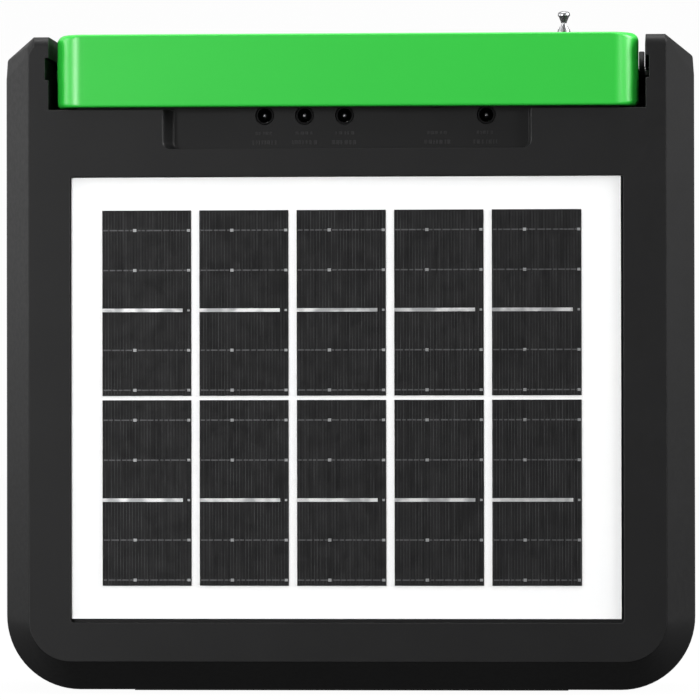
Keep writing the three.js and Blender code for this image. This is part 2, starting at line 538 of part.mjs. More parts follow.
function addControls() {
  const place = [SELECTOR.x, 0, SELECTOR.z];
  const body = box([-11, 29, -11], [11, CASE.rearY - WALL - 0.1, 11]);
  add("selector_switch", body.subtract(bar("y", 3.3, 32, 60, 0, 0, 20)), MATERIAL.black, place);
  const skirt = bar("y", SELECTOR.radius, CASE.rearY + 0.5, CASE.rearY + 4, 0, 0, 32);
  const grip = box([-3.6, CASE.rearY + 3.8, -13], [3.6, 55.4, 13]);
  const shaft = bar("y", 3, 33, CASE.rearY + 1, 0, 0, 20);
  add("selector_knob", skirt.add(grip).add(shaft), MATERIAL.handle, place);
  const [halfWidth, halfHeight] = [LENS.width / 2, LENS.height / 2];
  const [inside, flangeBack] = [38.6, CASE.rearY - WALL - 0.1];
  const window = box([-halfWidth, inside, -halfHeight], [halfWidth, CASE.rearY + 0.3, halfHeight]);
  const flange = box([-halfWidth - 2, inside, -halfHeight - 2], [halfWidth + 2, flangeBack, halfHeight + 2]);
  add("indicator_lens", window.add(flange), MATERIAL.lens, [LENS.x, 0, LENS.z]);
}

// ---------------------------------------------------------------- the whole energizer
addCase();
addPanel();
addHandle();
addAerial();
addJackBoard();
addElectronics();
addTerminals();
addControls();

export default group;
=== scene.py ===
"""The look of the solar fence energizer, on the frame of its CAD model.

Lengths are in millimetres in the tables and helpers below, and become metres where a mesh, light or camera
is made.
X runs to the right when facing the solar panel, Y into the case and Z up.
"""

import math
import random

import bmesh
import bpy
from mathutils import Matrix, Vector


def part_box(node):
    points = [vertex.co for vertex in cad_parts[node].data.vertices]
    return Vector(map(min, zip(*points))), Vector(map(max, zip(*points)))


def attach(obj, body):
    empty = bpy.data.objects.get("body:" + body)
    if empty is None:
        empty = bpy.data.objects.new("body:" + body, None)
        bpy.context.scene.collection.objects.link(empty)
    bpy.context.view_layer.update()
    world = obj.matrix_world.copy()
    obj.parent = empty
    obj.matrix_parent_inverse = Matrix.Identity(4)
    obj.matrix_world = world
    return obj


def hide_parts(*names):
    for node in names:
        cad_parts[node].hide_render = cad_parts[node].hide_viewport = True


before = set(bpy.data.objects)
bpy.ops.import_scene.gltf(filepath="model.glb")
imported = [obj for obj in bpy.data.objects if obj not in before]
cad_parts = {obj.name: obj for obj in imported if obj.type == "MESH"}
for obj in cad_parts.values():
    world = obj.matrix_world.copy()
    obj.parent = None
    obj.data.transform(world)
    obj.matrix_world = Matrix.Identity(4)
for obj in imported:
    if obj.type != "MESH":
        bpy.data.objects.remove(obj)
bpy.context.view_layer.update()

MM = 0.001
scene = bpy.context.scene


def box_mm(node):
    """The lowest and highest corner of a CAD node, in millimetres."""
    low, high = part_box(node)
    return [v / MM for v in low], [v / MM for v in high]


# ------------------------------------------------------------------ sizes, from the CAD frame where stated
FRONT_LOW, FRONT_HIGH = box_mm("front_shell")
REAR_LOW, REAR_HIGH = box_mm("rear_shell")
HALF_WIDTH = FRONT_HIGH[0]
BASE_Z = FRONT_LOW[2]
FRONT_Y, FRONT_END_Y = FRONT_LOW[1], FRONT_HIGH[1]
POST_TOP, PLATEAU_Z = FRONT_HIGH[2], REAR_HIGH[2]
REAR_START_Y, NOSE_Y = REAR_LOW[1], REAR_HIGH[1]
REAR_Y = NOSE_Y - 2  # the terminals' insulating noses stand 2 mm proud of the back

WALL = 2.8
BEVEL_INSET, BEVEL_Y = 13, FRONT_Y + 24  # the front face is set in from the sides over this depth
BEVEL_BELOW = 14  # and by this much from the bottom
CORNER = 34
# The cut corner on top of each post: (across, down) at the side of the case, and at the front face.
POST_CUTS = {"left": ((12.7, 9.2), (2.7, 4.0)), "right": ((12.3, 8.8), (0.6, 0.6))}
POST_FILLET, POST_END_Y = 4.8, FRONT_END_Y - 3.2
FRONT_FOOT_Y, REAR_FOOT_Y = -15, 28
SEAT_HALF_WIDTH, SEAT_HALF_DEPTH, SEAT_RISE = 100.3, 4.8, 1.6  # the shallow seats of the rubber feet
STEP_Y, STEP_Z = 24, 186  # the upper part of the back is set forward above this ledge

GRIP_LOW, GRIP_HIGH = box_mm("handle_bail")
HANDLE_HALF, HANDLE_FRONT, HANDLE_TOP, HANDLE_BOTTOM = GRIP_HIGH[0], GRIP_LOW[1], GRIP_HIGH[2], GRIP_LOW[2]
BAND, ARM = 7.4, 7
HUB = 13
EDGE, SHOULDER = 1.1, 3.6  # the bail's edge radius, which grows to the shoulder round its outer corners
PIN_LOW, PIN_HIGH = box_mm("handle_washer_right")
PIVOT_Y, PIVOT_Z = (PIN_LOW[1] + PIN_HIGH[1]) / 2, (PIN_LOW[2] + PIN_HIGH[2]) / 2

POST_INNER = PIN_HIGH[0] + 0.3
BAY_DEPTH = 9
BAY_FLOOR, BAY_WALL_Y, SLOT_INNER, SLOT_REAR_Y = HANDLE_BOTTOM - 1.0, FRONT_Y + BAY_DEPTH, 124, 10.8

COVER_LOW, COVER_HIGH = box_mm("panel_cover")
RECESS_DEPTH = 3
RIBBON_TOP, RIBBON_PITCH = 9.1, 18.2  # the ribbons' rows, down from the top of a cell
JACKS = {name: box_mm(name) for name in ("output_jack_1", "output_jack_2", "output_jack_3", "charge_jack")}
BUTTON_LOW, BUTTON_HIGH = box_mm("power_button")
BUTTON_X, BUTTON_Z = (BUTTON_LOW[0] + BUTTON_HIGH[0]) / 2, (BUTTON_LOW[2] + BUTTON_HIGH[2]) / 2
JACK_Z = JACKS["charge_jack"][0][2] + 5
POCKET = {"left": -82.8, "right": 83.5, "bottom": 248.3, "left draft": 3.6, "right draft": 0.4}
JACK_HOLE, BORE_END_Y = 4.3, BAY_WALL_Y + 11

AERIAL_LOW, AERIAL_HIGH = box_mm("aerial_socket")
AERIAL_X, AERIAL_Y = (AERIAL_LOW[0] + AERIAL_HIGH[0]) / 2, (AERIAL_LOW[1] + AERIAL_HIGH[1]) / 2
AERIAL_TIP_Z = box_mm("aerial_tip_rod")[1][2]


# ------------------------------------------------------------------ meshes
def piece(name, verts, faces):
    """A closed mesh object from corners in millimetres, with its faces turned outwards."""
    mesh = bpy.data.meshes.new(name)
    mesh.from_pydata([(x * MM, y * MM, z * MM) for x, y, z in verts], [], faces)
    work = bmesh.new()
    work.from_mesh(mesh)
    bmesh.ops.remove_doubles(work, verts=work.verts, dist=1e-7)
    bmesh.ops.recalc_face_normals(work, faces=work.faces)
    work.to_mesh(mesh)
    work.free()
    obj = bpy.data.objects.new(name, mesh)
    scene.collection.objects.link(obj)
    return obj


def loft(name, rings):
    """A skin through rings of (x, y, z) corners, all of the same count, closed by flat ends."""
    count = len(rings[0])
    verts = [corner for ring in rings for corner in ring]
    faces = [
        (r * count + i, r * count + (i + 1) % count, (r + 1) * count + (i + 1) % count, (r + 1) * count + i)
        for r in range(len(rings) - 1)
        for i in range(count)
    ]
    last = (len(rings) - 1) * count
    faces += [tuple(range(count)), tuple(range(last, last + count))]
    return piece(name, verts, faces)


def block(name, low, high):
    (x0, y0, z0), (x1, y1, z1) = low, high
    return loft(name, [[(x0, y, z0), (x1, y, z0), (x1, y, z1), (x0, y, z1)] for y in (y0, y1)])


def place(axis, centre, radius, angle, along):
    """A point at an angle round an axis, at a distance along it."""
    u, v = radius * math.cos(angle), radius * math.sin(angle)
    x, y, z = centre
    spots = {"x": (x + along, y + u, z + v), "y": (x + u, y + along, z + v), "z": (x + u, y + v, z + along)}
    return spots[axis]


def turned(name, axis, centre, profile, sides=48, ring=False):
    """A turned piece: (radius, along) points round an axis. A ring's profile closes on itself."""
    profile = profile + profile[:1] if ring else profile
    verts, rows = [], []
    for radius, along in profile:
        count = sides if radius > 0 else 1
        rows.append(range(len(verts), len(verts) + count))
        verts += [place(axis, centre, radius, math.tau * i / count, along) for i in range(count)]
    faces = []
    for low, high in zip(rows, rows[1:]):
        for i in range(sides):
            corners = [row[j % len(row)] for row, j in ((low, i), (low, i + 1), (high, i + 1), (high, i))]
            faces.append(tuple(dict.fromkeys(corners)))
    if not ring:
        faces += [tuple(row) for row in (rows[0], rows[-1]) if len(row) > 1]
    return piece(name, verts, faces)


def rounded(points, radii, steps=6, closed=True):
    """A 2-D outline with its corners rounded by arcs. A radius of 0 keeps the corner."""
    out, count = [], len(points)
    for i, (point, radius) in enumerate(zip(points, radii)):
        here = Vector(point)
        if not radius or (not closed and i in (0, count - 1)):
            out.append(tuple(here))
            continue
        before = (Vector(points[i - 1]) - here).normalized()
        after = (Vector(points[(i + 1) % count]) - here).normalized()
        half = before.angle(after) / 2
        reach = radius / math.tan(half)
        centre = here + (before + after).normalized() * radius / math.sin(half)
        start, end = here + before * reach - centre, here + after * reach - centre
        sweep = start.angle_signed(end)
        for k in range(steps + 1):
            out.append(tuple(centre + Matrix.Rotation(-sweep * k / steps, 2) @ start))
    return out


def applied(obj):
    """Replaces an object's mesh with what its modifiers make of it."""
    graph = bpy.context.evaluated_depsgraph_get()
    mesh = bpy.data.meshes.new_from_object(obj.evaluated_get(graph))
    old = obj.data
    obj.modifiers.clear()
    obj.data = mesh
    bpy.data.meshes.remove(old)
    return obj


def combined(obj, others, operation="DIFFERENCE"):
    """Cuts, joins or intersects an object with others, which are then removed."""
    for other in others:
        modifier = obj.modifiers.new("combine", "BOOLEAN")
        modifier.operation, modifier.solver, modifier.object = operation, "EXACT", other
    applied(obj)
    for other in others:
        bpy.data.objects.remove(other)
    return obj


def softened(obj, width, segments=2, angle=30, clamp=False):
    """Rounds an object's sharp edges."""
    modifier = obj.modifiers.new("soften", "BEVEL")
    modifier.width, modifier.segments = width * MM, segments
    modifier.limit_method, modifier.angle_limit = "ANGLE", math.radians(angle)
    modifier.use_clamp_overlap = clamp
    modifier.miter_outer = "MITER_ARC"
    return obj


def finished(obj, body, material, replaces=(), angle=32):
    """Gives a piece its shading and material, and lets it ride on a body."""
    applied(obj)
    obj.data.materials.clear()
    obj.data.materials.append(material)
    obj.data.polygons.foreach_set("use_smooth", [True] * len(obj.data.polygons))
    obj.data.set_sharp_from_angle(angle=math.radians(angle))
    modifier = obj.modifiers.new("flat faces stay flat", "WEIGHTED_NORMAL")
    modifier.keep_sharp, modifier.weight = True, 60
    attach(obj, body)
    if replaces:
        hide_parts(*replaces)
    return obj


def joined(name, objs):
    """Several closed pieces as one object."""
    work = bmesh.new()
    for obj in objs:
        work.from_mesh(obj.data)
        bpy.data.objects.remove(obj)
    mesh = bpy.data.meshes.new(name)
    work.to_mesh(mesh)
    work.free()
    obj = bpy.data.objects.new(name, mesh)
    scene.collection.objects.link(obj)
    return obj


# ------------------------------------------------------------------ materials
class Shader:
    """A Principled material and the few node patterns that the materials below are made from."""

    def __init__(self, name, color, roughness, metallic=0.0, **sockets):
        self.material = bpy.data.materials.new(name)
        self.material.use_nodes = True
        self.tree = self.material.node_tree
        self.shader = self.tree.nodes["Principled BSDF"]
        self.coords = self.node("ShaderNodeTexCoord").outputs["Object"]
        self.set("Base Color", (*color, 1))
        self.set("Roughness", roughness)
        self.set("Metallic", metallic)
        for socket, value in sockets.items():
            self.set(socket.replace("_", " "), value)

    def node(self, kind, **inputs):
        made = self.tree.nodes.new(kind)
        for socket, value in inputs.items():
            self.feed(made.inputs[socket.replace("_", " ")], value)
        return made

    def feed(self, socket, value):
        if isinstance(value, bpy.types.NodeSocket):
            self.tree.links.new(value, socket)
        else:
            socket.default_value = value

    def set(self, socket, value):
        self.feed(self.shader.inputs[socket], value)

    def stretched(self, x=1, y=1, z=1):
        """Object coordinates scaled along each axis, so that a pattern is drawn out."""
        return self.node("ShaderNodeMapping", Vector=self.coords, Scale=(x, y, z)).outputs["Vector"]

    def noise(self, size, detail=3.0, vector=None):
        """Noise with features of about this size in millimetres, from 0 to 1."""
        vector = self.coords if vector is None else vector
        made = self.node("ShaderNodeTexNoise", Vector=vector, Scale=1 / (size * MM), Detail=detail)
        return made.outputs["Fac"]

    def cells(self, size):
        """The distance to the nearest cell point, for a pebbled grain of this size in millimetres."""
        made = self.node("ShaderNodeTexVoronoi", Vector=self.coords, Scale=1 / (size * MM))
        return made.outputs["Distance"]

    def ramp(self, value, low, high, start=0.35, end=0.65):
        """A value spread between two others, as noise stays near its middle."""
        made = self.node("ShaderNodeMapRange", Value=value)
        for socket, number in (("From Min", start), ("From Max", end), ("To Min", low), ("To Max", high)):
            made.inputs[socket].default_value = number
        return made.outputs["Result"]

    def mixed(self, factor, first, second):
        made = self.node("ShaderNodeMix")
        made.data_type = "RGBA"
        for index, value in ((0, factor), (6, first), (7, second)):
            self.feed(made.inputs[index], value)
        return made.outputs[2]

    def math(self, operation, *values):
        made = self.tree.nodes.new("ShaderNodeMath")
        made.operation = operation
        for socket, value in zip(made.inputs, values):
            self.feed(socket, value)
        return made.outputs["Value"]

    def axis(self, name):
        return self.node("ShaderNodeSeparateXYZ", Vector=self.coords).outputs[name]

    def bump(self, height, depth, strength=1.0):
        """Raises the surface by up to a depth in millimetres."""
        made = self.node("ShaderNodeBump", Height=height, Distance=depth * MM, Strength=strength)
        self.set("Normal", made.outputs["Normal"])

    def tint(self, factor, first, second):
        """Colours the surface from one tone to another by a factor."""
        self.set("Base Color", self.mixed(factor, first, second))


def tone(color, factor):
    return (*[min(1.0, c * factor) for c in color], 1)


def moulded(name, color, roughness, grain=0.45, depth=0.02, mottle=0.1, patch=28.0, gloss=0.05, **sockets):
    """Moulded plastic: a fine pebbled grain, and slow drifts of colour and gloss."""
    made = Shader(name, color, roughness, **sockets)
    drift = made.noise(patch)
    made.tint(made.ramp(drift, 0, 1), tone(color, 1 - mottle), tone(color, 1 + mottle))
    fine = made.noise(grain * 5, 4)
    made.set("Roughness", made.ramp(fine, roughness - gloss, roughness + gloss))
    pebbles = made.math("ADD", made.cells(grain), made.math("MULTIPLY", made.noise(grain * 0.6), 0.6))
    made.bump(pebbles, depth)
    return made.material


def metal(name, color, roughness, streak="z", scratch=0.004):
    """Bright metal with fine marks drawn out along one axis."""
    made = Shader(name, color, roughness, metallic=1.0)
    drawn = made.stretched(**{streak: 0.04})
    marks = made.noise(0.35, 5, drawn)
    made.set("Roughness", made.ramp(marks, roughness * 0.7, roughness * 1.4))
    made.tint(made.ramp(made.noise(6), 0, 1), tone(color, 0.93), tone(color, 1.04))
    made.bump(marks, scratch)
    return made.material


def rubber(name, color, roughness=0.85):
    made = Shader(name, color, roughness)
    dust = made.noise(9, 6)
    made.tint(made.ramp(dust, 0, 1), tone(color, 0.85), tone(color, 1.5))
    made.bump(made.noise(0.25, 2), 0.02)
    return made.material


def ribbon():
    """Tinned ribbon, whiter where the solder has flowed."""
    made = Shader("ribbon", (0.8, 0.8, 0.8), 0.4, metallic=1.0)
    flow = made.noise(9, 2)
    made.tint(made.ramp(flow, 0, 1, 0.42, 0.6), (0.5, 0.505, 0.515, 1), (0.97, 0.97, 0.97, 1))
    made.bump(made.noise(0.7, 3), 0.02)
    return made.material


def silicon():
    """A solar cell's face: near black, with slow vertical streaks and fine printed silver fingers."""
    made = Shader("silicon", (0.01, 0.01, 0.01), 0.32, Specular_IOR_Level=0.2)
    streaks = made.noise(1.5, 3, made.stretched(z=0.02))
    broad = made.noise(14, 2, made.stretched(z=0.15))
    base = made.mixed(made.ramp(streaks, 0, 1), (0.006, 0.006, 0.0062, 1), (0.014, 0.014, 0.0144, 1))
    base = made.mixed(made.ramp(broad, 0.0, 0.5), base, (0.008, 0.008, 0.0083, 1))
    pitch, width = 1.36, 0.09
    place_in_pitch = made.math("FRACT", made.math("DIVIDE", made.axis("X"), pitch * MM))
    finger = made.math("LESS_THAN", place_in_pitch, width / pitch)
    worn = made.ramp(made.noise(2.2, 2, made.stretched(z=0.12)), 0.05, 0.8)
    made.tint(made.math("MULTIPLY", finger, worn), base, (0.13, 0.13, 0.133, 1))
    made.set("Roughness", made.ramp(made.noise(5), 0.28, 0.4))
    return made.material


def backsheet():
    """The white laminate round the cells, very slightly creamy in places and orange-peeled."""
    made = Shader("backsheet", (0.93, 0.93, 0.93), 0.42)
    made.tint(made.ramp(made.noise(40), 0, 1), (0.925, 0.93, 0.935, 1), (0.94, 0.94, 0.935, 1))
    made.bump(made.noise(1.6, 2), 0.006)
    return made.material


def film():
    """The clear front film, which shows only as a faint gloss."""
    made = Shader("film", (0.03, 0.03, 0.03), 0.22, Alpha=0.03)
    made.set("Roughness", made.ramp(made.noise(12), 0.18, 0.27))
    made.bump(made.noise(2.2, 2), 0.004)
    return made.material


def circuit_board():
    """Green solder mask over darker tracks."""
    made = Shader("circuit_board", (0.02, 0.13, 0.05), 0.35)
    tracks = made.cells(4.5)
    made.tint(made.ramp(tracks, 0, 1, 0.4, 0.45), (0.03, 0.2, 0.075, 1), (0.012, 0.1, 0.035, 1))
    made.bump(tracks, 0.05)
    return made.material


def winding():
    """Enamelled copper wire laid side by side."""
    made = Shader("winding", (0.48, 0.16, 0.06), 0.3, metallic=1.0)
    turns = made.math("PINGPONG", made.axis("Z"), 0.35 * MM)
    made.bump(made.math("MULTIPLY", turns, 1 / (0.35 * MM)), 0.2)
    made.tint(made.ramp(made.noise(7), 0, 1), (0.4, 0.12, 0.045, 1), (0.56, 0.2, 0.08, 1))
    return made.material


def laminations():
    """A stack of varnished steel sheets."""
    made = Shader("laminations", (0.13, 0.13, 0.14), 0.4, metallic=0.6)
    sheets = made.math("PINGPONG", made.axis("Y"), 0.25 * MM)
    made.bump(made.math("MULTIPLY", sheets, 1 / (0.25 * MM)), 0.1)
    made.tint(made.ramp(made.noise(10), 0, 1), (0.1, 0.1, 0.11, 1), (0.17, 0.165, 0.16, 1))
    return made.material


BLACK = moulded("case_plastic", (0.0062, 0.0062, 0.0064), 0.46, grain=0.42, depth=0.007, mottle=0.08,
                gloss=0.03, Specular_IOR_Level=0.2)
BLACK_SMOOTH = moulded("fitting_plastic", (0.012, 0.012, 0.013), 0.38, grain=0.3, depth=0.006, mottle=0.12,
                       patch=9)
GREEN = moulded("handle_plastic", (0.018, 0.425, 0.035), 0.37, grain=0.4, depth=0.0006, mottle=0.015,
                patch=70, gloss=0.01)
RED = moulded("red_plastic", (0.5, 0.016, 0.012), 0.34, grain=0.35, depth=0.006, mottle=0.08, patch=10)
DEEP_BLACK = moulded("jack_plastic", (0.004, 0.004, 0.0042), 0.5, grain=0.3, depth=0.006, patch=9,
                     Specular_IOR_Level=0.12)
NYLON = moulded("nylon", (0.005, 0.005, 0.0052), 0.5, grain=0.3, depth=0.008, mottle=0.15, patch=8,
                Specular_IOR_Level=0.2)
BATTERY = moulded("battery_case", (0.03, 0.033, 0.04), 0.5, grain=0.5, depth=0.03, mottle=0.15)
SLEEVE = moulded("capacitor_sleeve", (0.015, 0.06, 0.26), 0.25, grain=0.8, depth=0.01, mottle=0.1)
LENS = moulded("lens", (0.5, 0.66, 0.53), 0.18, grain=0.5, depth=0.01, mottle=0.05)
MARK = moulded("mark", (0.0145, 0.0145, 0.0148), 0.42, grain=0.3, depth=0.004, mottle=0.1, patch=6,
               Specular_IOR_Level=0.25)
LIGHT_MARK = moulded("printed_mark", (0.55, 0.55, 0.54), 0.5, grain=0.3, depth=0.004, mottle=0.08, patch=6)
RUBBER = rubber("rubber", (0.012, 0.012, 0.012))
CHROME = metal("chrome", (0.27, 0.273, 0.28), 0.33, scratch=0.001)
STEEL = metal("steel", (0.5, 0.5, 0.5), 0.3, streak="x")
BRASS = metal("brass", (0.66, 0.45, 0.16), 0.24, streak="y")
RIBBON = ribbon()
BUSBAR = metal("busbar", (0.1, 0.1, 0.103), 0.5, streak="x")
SOLDER = metal("solder", (0.42, 0.425, 0.43), 0.38, streak="x", scratch=0.01)
SILICON, BACKSHEET, FILM = silicon(), backsheet(), film()
BOARD, WINDING, LAMINATIONS = circuit_board(), winding(), laminations()

NODE_LOOKS = {
    RUBBER: ["shell_seal", "foot_front", "foot_rear"],
    BACKSHEET: ["panel_backsheet"],
    FILM: ["panel_cover"],
    SILICON: [f"solar_cell_{i}" for i in range(1, 11)],
    BLACK_SMOOTH: ["panel_junction_box", "button_switch", "selector_switch", "battery_lead_negative"],
    BOARD: ["jack_board", "main_board"],
    BATTERY: ["battery"],
    STEEL: ["battery_strap", "switching_heat_sink", "handle_pivot_left", "handle_pivot_right"]
    + [f"case_screw_{i}" for i in range(1, 5)],
    LAMINATIONS: ["transformer_core"],
    WINDING: ["transformer_coil"],
    SLEEVE: ["storage_capacitor"],
    RED: ["battery_lead_positive"],
}


def dress_cad_nodes():
    """Gives the CAD nodes that stay their materials, and rounds the edges of the moulded ones."""
    edges = {"foot_front": 0.4, "foot_rear": 0.4, "panel_junction_box": 0.8, "battery": 2.0,
             "battery_strap": 0.4, "transformer_core": 0.6, "transformer_coil": 1.5,
             "storage_capacitor": 1.2, "selector_switch": 0.6, "button_switch": 0.5, "main_board": 0.2,
             "jack_board": 0.2}
    for material, names in NODE_LOOKS.items():
        for name in names:
            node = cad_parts[name]
            node.data.materials.clear()
            node.data.materials.append(material)
            if name in edges:
                softened(node, edges[name], segments=3, clamp=True)


# ------------------------------------------------------------------ case
def case_outline(inset, top, steps=18):
    """The case seen from the front as (x, z) corners: round at the bottom, cut off at the top corners."""
    half, radius = HALF_WIDTH - inset, CORNER - 1.15 * inset
    bottom = BASE_Z + inset * BEVEL_BELOW / BEVEL_INSET
    forward = min(inset / BEVEL_INSET, 1)
    sides = {}
    for side, (at_side, at_front) in POST_CUTS.items():
        across, down = (a + (b - a) * forward for a, b in zip(at_side, at_front))
        points = [
            (half - radius + radius * math.sin(a), bottom + radius - radius * math.cos(a))
            for a in (math.pi / 2 * i / steps for i in range(steps + 1))
        ]
        cut = [(half, top - 2.6 * down), (half, top - 2 * down), (half - 0.05 * across, top - down),
               (half - across, top), (half - across - 2, top)]
        sides[side] = points + rounded(cut, [0, 0.9 * down, 0.2 * down, 0.05 * down, 0], 4, False)
    return sides["right"] + [(-x, z) for x, z in reversed(sides["left"])]


def along(line, y):
    """The value at y of a line of (y, value) points, which stays level past its ends."""
    if y <= line[0][0]:
        return line[0][1]
    for (y0, a), (y1, b) in zip(line, line[1:]):
        if y0 <= y <= y1:
            return a if y1 == y0 else a + (b - a) * (y - y0) / (y1 - y0)
    return line[-1][1]


def case_body(name, inset_line, top_line, wall=0.0):
    """The case between two depths. Each line gives a value by depth; a wall shrinks it for the inside."""
    stations = sorted({round(y, 4) for y, _ in inset_line + top_line})
    rings = []
    for y in stations:
        outline = case_outline(along(inset_line, y) + wall, along(top_line, y) - wall)
        rings.append([(x, y, z) for x, z in outline])
    return loft(name, rings)


def foot_seat(y, grow=0.0):
    across, deep = SEAT_HALF_WIDTH + grow, SEAT_HALF_DEPTH + grow
    return block("seat", (-across, y - deep, BASE_Z - 5), (across, y + deep, BASE_Z + SEAT_RISE + grow))


def bay_cutters(grow=0.0):
    """The space where the folded handle lies: the bay, the arms' slots and what is above the plateau."""
    front, over, inner = FRONT_Y - 20, 330, POST_INNER + grow
    cutters = [
        block("bay", (-inner, front, BAY_FLOOR - grow), (inner, BAY_WALL_Y + grow, over)),
        block("above", (-inner, front, PLATEAU_Z - grow), (inner, 60, over)),
    ]
    for side in (-1, 1):
        x = sorted((side * (SLOT_INNER - grow), side * inner))
        cutters.append(block("slot", (x[0], front, BAY_FLOOR - grow), (x[1], SLOT_REAR_Y + grow, over)))
    return cutters


def pocket_cutter(grow=0.0):
    """The jacks' pocket, with sloping sides that roll over into the front face, and round corners."""
    floor = BAY_WALL_Y + grow
    left_draft, right_draft = POCKET["left draft"], POCKET["right draft"]
    left_slope = [
        (-1, -2.6), (0, -1.3), (0.5, -0.75), (1.3, -0.2), (2.6, 0.4), (7.4, left_draft - 1.1),
        (8.4, left_draft - 0.6), (BAY_DEPTH, left_draft + 0.3),
    ]
    rings = []
    for deep, left_inset in left_slope:
        y = floor if deep == BAY_DEPTH else FRONT_Y + deep
        right_inset = right_draft * max(deep, 0) / BAY_DEPTH - 0.5 * max(1 - deep, 0)
        left, right = POCKET["left"] - grow + left_inset, POCKET["right"] + grow - right_inset
        bottom, top = POCKET["bottom"] - grow, BAY_FLOOR + 4
        points = [(left, top), (left, bottom), (right, bottom), (right, top)]
        rings.append([(x, y, z) for x, z in rounded(points, [0, 3.6, 3.6, 0], steps=8)])
    return loft("pocket", rings)


def panel_cutter(grow=0.0, back=FRONT_Y + RECESS_DEPTH):
    """The panel's recess, which leaves a wider gap at the right and below."""
    low = (COVER_LOW[0] - 0.4 - grow, FRONT_Y - 20, COVER_LOW[2] - 1.7 - grow)
    high = (COVER_HIGH[0] + 1.1 + grow, back, COVER_HIGH[2] + 0.4 + grow)
    points = [(low[0], low[2]), (high[0], low[2]), (high[0], high[2]), (low[0], high[2])]
    outline = rounded(points, [1.2] * 4, steps=4)
    return loft("recess", [[(x, y, z) for x, z in outline] for y in (low[1], high[1])])


SCREWS = {name: box_mm(name) for name in (f"case_screw_{i}" for i in range(1, 5))}


def front_case():
    inset_points = [(FRONT_Y, BEVEL_INSET), (BEVEL_Y, 0), (FRONT_END_Y, 0)]
    inset_line = rounded(inset_points, [0, 7, 0], 5, False)
    steps = 8
    top_line = [
        (FRONT_Y + POST_FILLET * (1 - math.cos(a)), POST_TOP - POST_FILLET * (1 - math.sin(a)))
        for a in (math.pi / 2 * i / steps for i in range(steps + 1))
    ]
    top_points = [(0, POST_TOP), (POST_END_Y, POST_TOP), (FRONT_END_Y, PLATEAU_Z)]
    top_line += rounded(top_points, [0, 1.6, 0], 5, False)[1:]
    shell = case_body("case_front", inset_line, top_line)

    cutters = bay_cutters() + [pocket_cutter(), panel_cutter()]
    cutters.append(foot_seat(FRONT_FOOT_Y))
    for side in (-1, 1):
        x = sorted((side * (POST_INNER - 1), side * (POST_INNER + 1.6)))
        cutters.append(block("groove", (x[0], FRONT_Y - 1, PIVOT_Z - 5), (x[1], PIVOT_Y, PIVOT_Z + 5)))
    combined(shell, cutters)
    applied(softened(shell, 0.3, segments=3))

    holes = [block("window", (COVER_LOW[0] + 104, FRONT_Y, 188), (COVER_LOW[0] + 146, FRONT_Y + 11, 212))]
    for low, high in JACKS.values():
        x = (low[0] + high[0]) / 2
        holes.append(turned("hole", "y", (x, 0, JACK_Z), [
            (JACK_HOLE, BAY_WALL_Y - 1), (JACK_HOLE, BAY_WALL_Y + 4)]))
    holes.append(turned("hole", "y", (BUTTON_X, 0, BUTTON_Z),
                        [(4.6, BAY_WALL_Y - 1), (4.6, BAY_WALL_Y + 4)]))
    for side in (-1, 1):
        span = sorted((side * (POST_INNER - 2), side * (POST_INNER + 5)))
        holes.append(turned("hole", "x", (0, PIVOT_Y, PIVOT_Z), [(3.3, span[0]), (3.3, span[1])]))

    inner_line = [(FRONT_Y + 3.4, BEVEL_INSET), (BEVEL_Y + 1, 0), (FRONT_END_Y + 0.1, 0)]
    inner_top = [(FRONT_Y + 3.4, POST_TOP), (POST_END_Y - 3, POST_TOP), (POST_END_Y + 0.4, PLATEAU_Z),
                 (FRONT_END_Y + 0.1, PLATEAU_Z)]
    cavity = case_body("cavity", inner_line, inner_top, WALL)
    wall = WALL - 0.2
    kept = bay_cutters(wall) + [pocket_cutter(wall), panel_cutter(WALL, FRONT_Y + RECESS_DEPTH + WALL),
                                foot_seat(FRONT_FOOT_Y, 1.8)]
    for low, high in SCREWS.values():
        x, z = (low[0] + high[0]) / 2, (low[2] + high[2]) / 2
        edge = sorted((x, math.copysign(HALF_WIDTH - 1, x)))
        kept.append(turned("boss", "y", (x, 0, z), [(4.6, -26), (4.6, FRONT_END_Y + 1)], 24))
        kept.append(block("rib", (edge[0], -26, z - 1), (edge[1], FRONT_END_Y + 1, z + 1)))
        holes.append(turned("hole", "y", (x, 0, z), [(2.3, -22), (2.3, FRONT_END_Y + 1)], 24))
    combined(cavity, kept)
    combined(shell, [cavity] + holes)
    return finished(shell, "case", BLACK, ["front_shell"])


